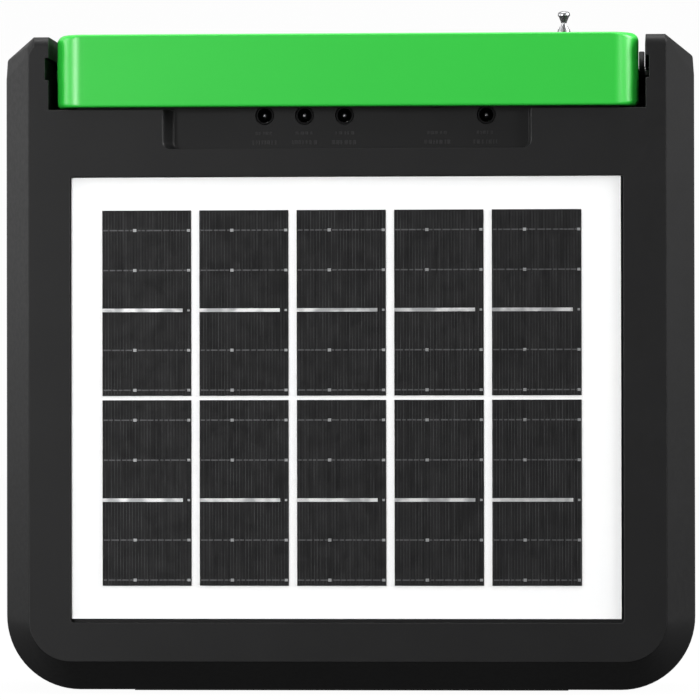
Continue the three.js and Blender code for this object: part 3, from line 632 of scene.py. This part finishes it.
def rear_case():
    inset_points = [(REAR_START_Y, 0), (REAR_Y - 5, 0), (REAR_Y, 5), (REAR_Y, 9)]
    inset_line = rounded(inset_points, [0, 4, 3, 0], 6, False)[:-1]
    shell = case_body("case_rear", inset_line, [(REAR_START_Y, PLATEAU_Z), (REAR_Y, PLATEAU_Z)])
    cutters = [block("step", (-170, STEP_Y, STEP_Z), (170, 80, 330)), foot_seat(REAR_FOOT_Y)]
    # Shallow grooves frame the controls, and ribs of the same depth stiffen the upper wall.
    for z in (92, 176):
        cutters.append(block("groove", (-120, REAR_Y - 0.8, z - 0.8), (120, REAR_Y + 5, z + 0.8)))
    for i in range(6):
        z = 204 + i * 12
        cutters.append(block("groove", (-118, STEP_Y - 0.8, z - 1.5), (72, STEP_Y + 5, z + 1.5)))
    combined(shell, cutters)
    applied(softened(shell, 0.6, segments=3))

    noses = []
    for low, high in (box_mm("fence_washer"), box_mm("earth_washer")):
        x, z = (low[0] + high[0]) / 2, (low[2] + high[2]) / 2
        noses.append(turned("nose", "y", (x, 0, z), [(12.4, REAR_Y - 1), (12.4, REAR_Y - 0.1),
                                                     (11.2, REAR_Y + 0.9), (10.6, NOSE_Y - 0.2),
                                                     (10.2, NOSE_Y), (4, NOSE_Y)]))
    combined(shell, noses, "UNION")

    holes = []
    inner = case_body("cavity", [(REAR_START_Y - 0.1, 0), (REAR_Y - 5.5, 0), (REAR_Y - WALL, 3)],
                      [(REAR_START_Y - 0.1, PLATEAU_Z), (REAR_Y - WALL, PLATEAU_Z)], WALL)
    kept = [block("step", (-170, STEP_Y - WALL, STEP_Z - WALL), (170, 80, 330)), foot_seat(REAR_FOOT_Y, 1.8)]
    for low, high in SCREWS.values():
        x, z, head = (low[0] + high[0]) / 2, (low[2] + high[2]) / 2, high[1]
        kept.append(turned("boss", "y", (x, 0, z), [(6.4, REAR_START_Y - 1), (6.4, 60)], 32))
        holes.append(turned("hole", "y", (x, 0, z), [
            (2.3, REAR_START_Y - 1), (2.3, head - 2.9), (4.6, head - 2.9), (4.6, head - 0.1),
            (5.2, head + 0.5), (5.4, head + 2)], 32))
    combined(inner, kept)
    for node, radius in (("fence_stud", 3.3), ("earth_stud", 3.3), ("selector_switch", 4)):
        low, high = box_mm(node)
        centre = ((low[0] + high[0]) / 2, 0, (low[2] + high[2]) / 2)
        holes.append(turned("hole", "y", centre, [(radius, 30), (radius, 60)]))
    low, high = box_mm("indicator_lens")
    holes.append(block("hole", (low[0] + 1.7, 30, low[2] + 1.7), (high[0] - 1.7, 60, high[2] - 1.7)))
    holes.append(turned("hole", "z", (AERIAL_X, AERIAL_Y, 0), [(3.3, STEP_Z - 10), (3.3, STEP_Z + 10)]))
    combined(shell, [inner] + holes)
    return finished(shell, "case", BLACK, ["rear_shell"])


def pocket_marks():
    """Two rows of small raised strokes below each jack, in place of moulded labels."""
    chance = random.Random(7)
    strokes = []
    floor = BAY_WALL_Y
    centres = [(low[0] + high[0]) / 2 for low, high in JACKS.values()] + [BUTTON_X]
    for centre in centres:
        for z, height, span in ((JACK_Z - 8.1, 1.4, 8.5), (JACK_Z - 12.3, 1.9, 11.5)):
            x = centre - span / 2
            while x < centre + span / 2 - 0.6:
                width = chance.choice((0.6, 0.9, 1.4))
                low, high = (x, floor - 0.16, z - height / 2), (x + width, floor + 0.3, z + height / 2)
                strokes.append(block("stroke", low, high))
                x += width + chance.choice((0.5, 0.7, 1.1))
    return finished(softened(joined("pocket_marks", strokes), 0.1, 1), "case", MARK)


# ------------------------------------------------------------------ solar panel
def cell_metal():
    """The silver on the cells: one broad ribbon, four broken busbars with two solder pads each, per cell."""
    chance = random.Random(11)
    ribbons, busbars, pads = [], [], []
    for i in range(1, 11):
        low, high = box_mm(f"solar_cell_{i}")
        x0, x1, face, top = low[0], high[0], low[1], high[2]
        width = x1 - x0

        def strip(kind, a, b, z, half, thick):
            corners = (x0 + width * a, face - thick, z - half), (x0 + width * b, face + 0.05, z + half)
            kind.append(block("strip", *corners))

        for row in range(5):
            z = top - RIBBON_TOP - RIBBON_PITCH * row
            if row == 2:
                strip(ribbons, 0.0, 0.904, z, 0.8, 0.075)
                strip(pads, 0.957, 0.985, z, 0.5, 0.07)
                continue
            start = 0.01
            while start < 0.95:
                end = min(start + chance.uniform(0.03, 0.09), 0.985)
                strip(busbars, start, end, z, 0.3, 0.02)
                start = end + chance.uniform(0.008, 0.02)
            strip(pads, 0.348, 0.384, z, 0.66, 0.06)
            strip(pads, 0.955, 0.99, z, 0.6, 0.06)
    finished(joined("cell_ribbons", ribbons), "case", RIBBON)
    finished(joined("cell_busbars", busbars), "case", BUSBAR)
    finished(joined("cell_solder_pads", pads), "case", SOLDER)


# ------------------------------------------------------------------ handle
def handle_sections():
    """The bail's right half, from its middle to its hub, as (outer point, inner point, low z, high z, turn).

    The turn goes from 0 along the band to 1 past the corner, and back to 0 at the hub.
    """
    front, inner_x = HANDLE_FRONT, HANDLE_HALF - ARM
    outer_corner, inner_corner, taper_y = 12.0, 4.0, -46
    sections = [((x, front), (x, front + BAND)) for x in (0, 30, 60, 90, 110, 117)]
    for k in range(15):
        a = -math.pi / 2 + math.pi / 2 * k / 14
        short, deep = 1 - math.cos(a), 1 + math.sin(a)
        outer = (HANDLE_HALF - outer_corner * short, front + outer_corner * deep)
        inner = (inner_x - inner_corner * short, front + BAND + inner_corner * deep)
        sections.append((outer, inner))
    sections += [((HANDLE_HALF, y), (inner_x, y)) for y in (-40, -34, -28, -22)]
    sections += [
        ((HANDLE_HALF, y), (inner_x, y))
        for y in (PIVOT_Y + HUB * math.sin(a) for a in (math.radians(d) for d in range(-60, 84, 8)))
    ]
    out = []
    for outer, inner in sections:
        y = outer[1]
        taper = min(max((y - taper_y) / (PIVOT_Y - taper_y), 0), 1)
        taper = taper * taper * (3 - 2 * taper)
        low = HANDLE_BOTTOM + (PIVOT_Z - HUB - HANDLE_BOTTOM) * taper
        high = HANDLE_TOP + (PIVOT_Z + HUB - HANDLE_TOP) * taper
        if y > PIVOT_Y:
            reach = math.sqrt(max(HUB**2 - (y - PIVOT_Y) ** 2, 0.05))
            low, high = PIVOT_Z - reach, PIVOT_Z + reach
        turn = min(max(1 - (HANDLE_HALF - outer[0]) / outer_corner, 0), 1)
        out.append((outer, inner, low, high, turn * (1 - taper)))
    return out


def handle():
    right = handle_sections()
    left = [((-o[0], o[1]), (-i[0], i[1]), *rest) for o, i, *rest in reversed(right[1:])]
    rings = []
    for outer, inner, low, high, turn in left + right:
        across = math.dist(outer, inner)
        swell = (SHOULDER - EDGE) * turn
        radii = [min(EDGE + swell * share, (high - low) / 2.2) for share in (0, 0.5, 1, 0)]
        section = rounded([(0, low), (across, low), (across, high), (0, high)], radii, 5)
        ring = []
        for u, z in section:
            t = u / across
            ring.append((inner[0] + (outer[0] - inner[0]) * t, inner[1] + (outer[1] - inner[1]) * t, z))
        rings.append(ring)
    bail = loft("bail", rings)
    middle = (HANDLE_TOP + HANDLE_BOTTOM) / 2
    back = HANDLE_FRONT + BAND
    combined(bail, [
        block("seat", (-88.3, back - 1.9, middle - 12.8), (88.3, back + 2, middle + 12.8)),
        turned("hole", "x", (0, PIVOT_Y, PIVOT_Z), [(3.1, -140), (3.1, 140)]),
    ])
    finished(bail, "handle", GREEN, ["handle_bail"], angle=40)

    # The pad's ribs run along it, so that fingers don't slip.
    ribs, pad_half, groove, crest = 9, 12.5, back - 0.6, back + 0.35
    outline = [(back - 1.7, middle - pad_half), (back - 1.7, middle + pad_half), (groove, middle + pad_half)]
    for i in range(ribs):
        z = middle + pad_half - (i + 0.5) * 2 * pad_half / ribs
        outline += [(groove, z + 1.0), (crest, z + 0.6), (crest, z - 0.6), (groove, z - 1.0)]
    outline.append((groove, middle - pad_half))
    pad = loft("grip_pad", [[(x, y, z) for y, z in outline] for x in (-88, 88)])
    finished(softened(pad, 0.15, 2), "handle", RUBBER, ["handle_grip_pad"])

    for side, word in ((-1, "left"), (1, "right")):
        low, high = sorted((side * (HANDLE_HALF + 0.3), side * (POST_INNER - 0.3)))
        washer = turned(f"pivot_washer_{word}", "x", (0, PIVOT_Y, PIVOT_Z), [
            (3.4, low), (9.6, low), (10, low + 0.4), (10, high - 0.4), (9.6, high), (3.4, high)], ring=True)
        finished(washer, "case", NYLON, [f"handle_washer_{word}"])


# ------------------------------------------------------------------ jacks and button
def jacks():
    face = BAY_WALL_Y + 0.8
    for name, (low, high) in JACKS.items():
        x = (low[0] + high[0]) / 2
        barrel = turned("barrel", "y", (x, 0, JACK_Z), [
            (3.1, face + 0.5), (3.35, face), (3.9, face), (4.05, face + 0.2), (4.05, face + 4),
            (3.1, face + 4)], ring=True)
        body = block("body", (x - 4.6, BAY_WALL_Y + 3, JACK_Z - 5), (x + 4.6, high[1], JACK_Z + 6.4))
        bore = turned("bore", "y", (x, 0, JACK_Z), [(3.1, BAY_WALL_Y), (3.1, BORE_END_Y)])
        combined(body, [bore])
        applied(softened(body, 0.4, 2))
        finished(joined(f"{name}_body", [body, barrel]), "case", DEEP_BLACK, [name])
        pin = turned(f"{name}_pin", "y", (x, 0, JACK_Z), [
            (0, BAY_WALL_Y + 0.9), (0.55, BAY_WALL_Y + 1.0), (0.95, BAY_WALL_Y + 1.5),
            (1.05, BAY_WALL_Y + 2.2), (1.05, BORE_END_Y + 0.3), (0, BORE_END_Y + 0.3)], 32)
        finished(pin, "case", CHROME)
        # The sprung outer contact is a bright leaf low in the bore.
        leaf = block(f"{name}_leaf", (x + 0.9, BAY_WALL_Y + 2.6, JACK_Z - 3.0),
                     (x + 2.4, BORE_END_Y, JACK_Z - 2.6))
        finished(softened(leaf, 0.12, 2), "case", STEEL)


def power_button():
    front, back = BUTTON_LOW[1], BUTTON_HIGH[1]
    cap = turned("power_button_cap", "y", (BUTTON_X, 0, BUTTON_Z), [
        (0, front + 0.35), (2.6, front + 0.25), (3.6, front), (4.1, front + 0.15), (4.3, front + 0.6),
        (4.3, back - 1.8), (5.6, back - 1.8), (5.6, back), (0, back)])
    finished(cap, "power_button", BLACK_SMOOTH, ["power_button"])


# ------------------------------------------------------------------ aerial
def aerial():
    foot = (AERIAL_X, AERIAL_Y, 0)
    ledge = STEP_Z
    socket = turned("aerial_base", "z", foot, [
        (1.8, ledge - 6), (3, ledge - 6), (3, ledge + 0.1), (6, ledge + 0.1), (6.0, ledge + 1.7),
        (5.6, ledge + 2.2), (4.9, ledge + 2.6), (1.8, ledge + 2.6)], ring=True)
    nut_profile = [(3.05, ledge - 8), (5.5, ledge - 8), (5.5, ledge - 3), (3.05, ledge - 3)]
    nut = turned("aerial_nut", "z", foot, nut_profile, 6, ring=True)
    finished(joined("aerial_base_and_nut", [socket, nut]), "case", CHROME, ["aerial_socket"])

    high = box_mm("aerial_swivel")[1]
    eye_radius = 2.6
    hinge_z = high[2] - eye_radius
    stem = turned("aerial_clevis", "z", foot, [
        (0, ledge - 5), (1.5, ledge - 5), (1.5, ledge + 2.9), (4.7, ledge + 2.9), (5, ledge + 3.2),
        (5, ledge + 5.4), (4.6, ledge + 6.1), (0, ledge + 6.1)])
    cheeks = []
    for side in (-1, 1):
        x = sorted((side * 2.35, side * 4.3))
        outline = [(-eye_radius, ledge + 5), (eye_radius, ledge + 5)] + [
            (eye_radius * math.cos(a), hinge_z + eye_radius * math.sin(a))
            for a in (math.pi * i / 14 for i in range(15))
        ]
        cheeks.append(loft("cheek", [[(AERIAL_X + u, AERIAL_Y + y, z) for y, z in outline] for u in x]))
    pin = turned("hinge_pin", "x", (AERIAL_X, AERIAL_Y, hinge_z), [
        (0, -4.95), (0.9, -4.9), (1.4, -4.5), (1.4, -4.2), (1, -4.2), (1, 4.2), (1.4, 4.2), (1.4, 4.5),
        (0.9, 4.9), (0, 4.95)], 24)
    combined(stem, cheeks + [pin], "UNION")
    finished(softened(stem, 0.15, 2), "aerial_turret", CHROME, ["aerial_swivel"])

    bodies = {"outer": "aerial_mast", "middle": "aerial_middle", "inner": "aerial_inner"}
    for name, body in bodies.items():
        node = f"aerial_tube_{name}"
        low, high = box_mm(node)
        radius, mouth = (high[0] - low[0]) / 2, high[2]
        bottom = hinge_z + 6.5 if name == "outer" else low[2]
        bore = radius - 0.45
        tube = turned(f"mast_{name}", "z", foot, [
            (0, bottom), (radius - 0.3, bottom), (radius, bottom + 0.4), (radius, mouth - 2.6),
            (radius - 0.06, mouth - 1.8), (radius - 0.2, mouth - 0.9), (radius - 0.42, mouth - 0.25),
            (radius - 0.44, mouth - 0.02), (bore - 0.02, mouth), (bore, mouth - 1), (bore, bottom + 2),
            (0, bottom + 2)])
        if name == "outer":
            outline = [(-eye_radius, bottom + 0.5)] + [
                (-eye_radius * math.cos(a), hinge_z - eye_radius * math.sin(a))
                for a in (math.pi * i / 16 for i in range(17))
            ] + [(eye_radius, bottom + 0.5)]
            tongue = loft("tongue", [[(AERIAL_X + u, AERIAL_Y + y, z) for y, z in outline] for u in (-2, 2)])
            eye = turned("eye", "x", (AERIAL_X, AERIAL_Y, hinge_z), [(1.25, -3), (1.25, 3)], 24)
            combined(tongue, [eye])
            combined(tube, [tongue], "UNION")
        finished(tube, body, CHROME, [node])

    top = AERIAL_TIP_Z
    low, _ = box_mm("aerial_tip_rod")
    tip = turned("mast_tip", "z", foot, [
        (0, low[2]), (0.95, low[2]), (0.95, top - 5.6), (1.35, top - 5.5), (1.45, top - 4.9),
        (2.35, top - 2.7), (2.5, top - 2.4), (2.85, top - 2.2), (2.9, top - 1.6), (2.75, top - 0.9),
        (2.3, top - 0.4), (1.5, top - 0.1), (0.7, top), (0, top)])
    finished(tip, "aerial_tip", CHROME, ["aerial_tip_rod"])


# ------------------------------------------------------------------ back: terminals, selector and lens
def terminal(word, knob_material):
    low, high = box_mm(f"{word}_stud")
    x, z, end = (low[0] + high[0]) / 2, (low[2] + high[2]) / 2, high[1]
    centre = (x, 0, z)
    # The stud's thread is a row of shallow rings at its pitch.
    profile = [(0, low[1]), (3, low[1]), (3, 35.5), (6, 35.5), (6, REAR_Y - WALL - 0.1),
               (3, REAR_Y - WALL - 0.1)]
    y = NOSE_Y - 2
    while y < end - 1.2:
        profile += [(2.95, y), (2.55, y + 0.5)]
        y += 1.0
    profile += [(2.95, end - 0.9), (2.5, end), (0, end)]
    bolt = turned(f"{word}_bolt", "y", centre, profile)
    finished(bolt, "case", BRASS, [f"{word}_stud"], angle=50)

    low, high = box_mm(f"{word}_washer")
    washer = turned(f"{word}_clamp_washer", "y", centre, [
        (3.3, low[1]), (7.8, low[1]), (8, low[1] + 0.2), (8, high[1] - 0.2), (7.8, high[1]), (3.3, high[1])],
        ring=True)
    finished(washer, f"{word}_clamp", STEEL, [f"{word}_washer"])

    low, high = box_mm(f"{word}_knob")
    outline = []
    lobes, mean, swell, steps = 6, 10.6, 1.1, 96
    for i in range(steps):
        a = math.tau * i / steps
        radius = mean + swell * math.cos(lobes * a)
        outline.append((math.cos(a) * radius, math.sin(a) * radius))
    rings = []
    for y, scale in ((low[1], 0.80), (low[1] + 0.5, 0.82), (low[1] + 0.9, 0.965), (low[1] + 1.4, 1.0),
                     (high[1] - 1.2, 1.0), (high[1] - 0.4, 0.965), (high[1], 0.88)):
        rings.append([(x + u * scale, y, z + v * scale) for u, v in outline])
    knob = loft(f"{word}_grip_knob", rings)
    combined(knob, [turned("bore", "y", centre, [(3.3, 40), (3.3, 60)]),
                    turned("dish", "y", centre, [(6.6, high[1] - 0.7), (7.4, high[1] + 0.2)])])
    finished(knob, f"{word}_knob", knob_material, [f"{word}_knob"], angle=28)


def selector():
    low, high = box_mm("selector_knob")
    x, z = (low[0] + high[0]) / 2, (low[2] + high[2]) / 2
    radius, front = (high[0] - low[0]) / 2, REAR_Y + 0.5
    centre = (x, 0, z)
    skirt = turned("selector_grip_knob", "y", centre, [
        (0, low[1]), (3, low[1]), (3, front), (radius - 0.3, front), (radius, front + 0.4),
        (radius, front + 1.6), (radius - 0.8, front + 2.8), (radius - 3, front + 3.5), (0, front + 3.5)], 72)
    outline = rounded([(-3.6, -13), (3.6, -13), (3.6, 13), (-3.6, 13)], [3.4] * 4, 8)
    bar = loft("bar", [
        [(x + u * s, y, z + v * (0.5 + 0.5 * s)) for u, v in outline]
        for y, s in ((front + 2.6, 1.0), (high[1] - 1.6, 0.94), (high[1] - 0.5, 0.85), (high[1], 0.62))
    ])
    combined(skirt, [bar], "UNION")
    finished(softened(skirt, 0.25, 2, 40), "selector", GREEN, ["selector_knob"], angle=40)
    pointer = block("selector_pointer", (x - 0.7, high[1] - 0.25, z + 4), (x + 0.7, high[1] + 0.12, z + 11))
    finished(softened(pointer, 0.15, 2), "selector", LIGHT_MARK)

    # Dots round the knob for its five settings, growing with each step.
    dots, ring, step = [], 20, 30
    for i in range(5):
        a = math.radians(90 - step * i)
        size = 0.9 + 0.25 * i
        dots.append(turned("dot", "y", (x - math.cos(a) * ring, 0, z + math.sin(a) * ring), [
            (0, REAR_Y - 0.2), (size, REAR_Y - 0.2), (size, REAR_Y + 0.05), (size - 0.15, REAR_Y + 0.15),
            (0, REAR_Y + 0.15)], 24))
    finished(joined("selector_dots", dots), "case", LIGHT_MARK)


def indicator():
    low, high = box_mm("indicator_lens")
    flange = block("flange", (low[0], low[1], low[2]), (high[0], REAR_Y - WALL - 0.1, high[2]))
    window = block("indicator_window", (low[0] + 2, low[1], low[2] + 2), (high[0] - 2, high[1], high[2] - 2))
    applied(softened(window, 0.5, 3))
    combined(window, [flange], "UNION")
    finished(window, "case", LENS, ["indicator_lens"])


def terminal_symbols():
    """Raised pictures by the terminals: a zigzag for the fence and three shrinking bars for the earth."""
    z, depth = box_mm("fence_stud")[0][2] - 12, (REAR_Y - 0.2, REAR_Y + 0.3)
    fence_x = sum(v[0] for v in box_mm("fence_stud")) / 2
    earth_x = sum(v[0] for v in box_mm("earth_stud")) / 2
    strokes = []
    for i, half in enumerate((5.5, 3.5, 1.5)):
        level = z - 3 * i
        strokes.append(block("bar", (earth_x - half, depth[0], level - 0.5),
                             (earth_x + half, depth[1], level + 0.5)))
    strokes.append(block("stem", (earth_x - 0.5, depth[0], z + 0.4), (earth_x + 0.5, depth[1], z + 3)))
    zigzag = [(-6, 0), (-2, 0), (-0.5, 3), (1, -3), (2.5, 0), (6, 0)]
    for (x0, z0), (x1, z1) in zip(zigzag, zigzag[1:]):
        across = Vector((z0 - z1, x1 - x0)).normalized() * 0.5
        ring = [(x0 + across.x, z0 + across.y), (x0 - across.x, z0 - across.y),
                (x1 - across.x, z1 - across.y), (x1 + across.x, z1 + across.y)]
        strokes.append(loft("zag", [[(fence_x + u, y, z - 3 + v) for u, v in ring] for y in depth]))
    finished(joined("terminal_symbols", strokes), "case", LIGHT_MARK)


# ------------------------------------------------------------------ stage: floor, light and camera
CAMERA = {"aim": (1.6, FRONT_Y, 156.6), "distance": 2300, "yaw": 3.1, "pitch": 0.5, "roll": -0.1,
          "lens": 260.3}


def add_camera():
    yaw, pitch = math.radians(CAMERA["yaw"]), math.radians(CAMERA["pitch"])
    forward = Vector((-math.sin(yaw) * math.cos(pitch), math.cos(yaw) * math.cos(pitch), math.sin(pitch)))
    roll = Matrix.Rotation(math.radians(CAMERA["roll"]), 4, "Z")
    turn = forward.to_track_quat("-Z", "Y").to_matrix().to_4x4() @ roll
    data = bpy.data.cameras.new("camera")
    data.lens, data.sensor_width, data.clip_start, data.clip_end = CAMERA["lens"], 36, 0.05, 50
    camera = bpy.data.objects.new("camera", data)
    place_mm = Vector(CAMERA["aim"]) - forward * CAMERA["distance"]
    camera.matrix_world = Matrix.Translation(place_mm * MM) @ turn
    scene.collection.objects.link(camera)
    scene.camera = camera


def add_area(name, place_mm, size_mm, power, aim_mm=(0, -40, 160)):
    data = bpy.data.lights.new(name, "AREA")
    data.shape, data.size, data.size_y, data.energy = "RECTANGLE", size_mm[0] * MM, size_mm[1] * MM, power
    light = bpy.data.objects.new(name, data)
    light.location = Vector(place_mm) * MM
    light.rotation_euler = (Vector(aim_mm) - Vector(place_mm)).to_track_quat("-Z", "Y").to_euler()
    light.visible_camera = False
    scene.collection.objects.link(light)


def add_stage():
    floor = turned("floor", "z", (0, 0, 0), [(0, -20), (6000, -20), (6000, 0), (0, 0)], 96)
    paint = Shader("floor_paint", (0.02, 0.02, 0.02), 0.9, Emission_Color=(1, 1, 1, 1),
                   Emission_Strength=0.97)
    paint.set("Specular IOR Level", 0.0)
    floor.data.materials.append(paint.material)
    floor.visible_glossy = floor.visible_diffuse = False

    world = bpy.data.worlds.new("studio")
    world.use_nodes = True
    tree = world.node_tree
    dim = tree.nodes["Background"]
    bright = tree.nodes.new("ShaderNodeBackground")
    seen, mix = tree.nodes.new("ShaderNodeLightPath"), tree.nodes.new("ShaderNodeMixShader")
    for background, strength in ((dim, 0.1), (bright, 0.985)):
        background.inputs["Color"].default_value = (1, 1, 1, 1)
        background.inputs["Strength"].default_value = strength
    tree.links.new(seen.outputs["Is Camera Ray"], mix.inputs[0])
    tree.links.new(dim.outputs[0], mix.inputs[1])
    tree.links.new(bright.outputs[0], mix.inputs[2])
    tree.links.new(mix.outputs[0], tree.nodes["World Output"].inputs[0])
    scene.world = world
    scene.view_settings.view_transform = "Standard"

    add_area("left strip", (-1350, -2100, 150), (500, 1500), 80)
    add_area("right strip", (1500, -1900, 150), (500, 1500), 18)
    add_area("left", (-1900, -300, 600), (900, 1400), 28)
    add_area("right", (1900, -300, 1000), (900, 1300), 70)
    add_area("rear left", (-1500, 1300, 1100), (1900, 2200), 11.2)
    add_area("rear right", (1500, 1300, 1100), (1900, 2200), 3.4)
    add_area("rear top", (0, 1100, 1900), (2200, 1000), 8.7)
    add_area("top front", (0, -1100, 1800), (2000, 1000), 5.9)
    add_area("top", (0, -100, 1900), (2000, 900), 38)


front_case()
rear_case()
pocket_marks()
cell_metal()
handle()
jacks()
power_button()
aerial()
terminal("fence", RED)
terminal("earth", BLACK_SMOOTH)
selector()
indicator()
terminal_symbols()
dress_cad_nodes()
add_camera()
add_stage()
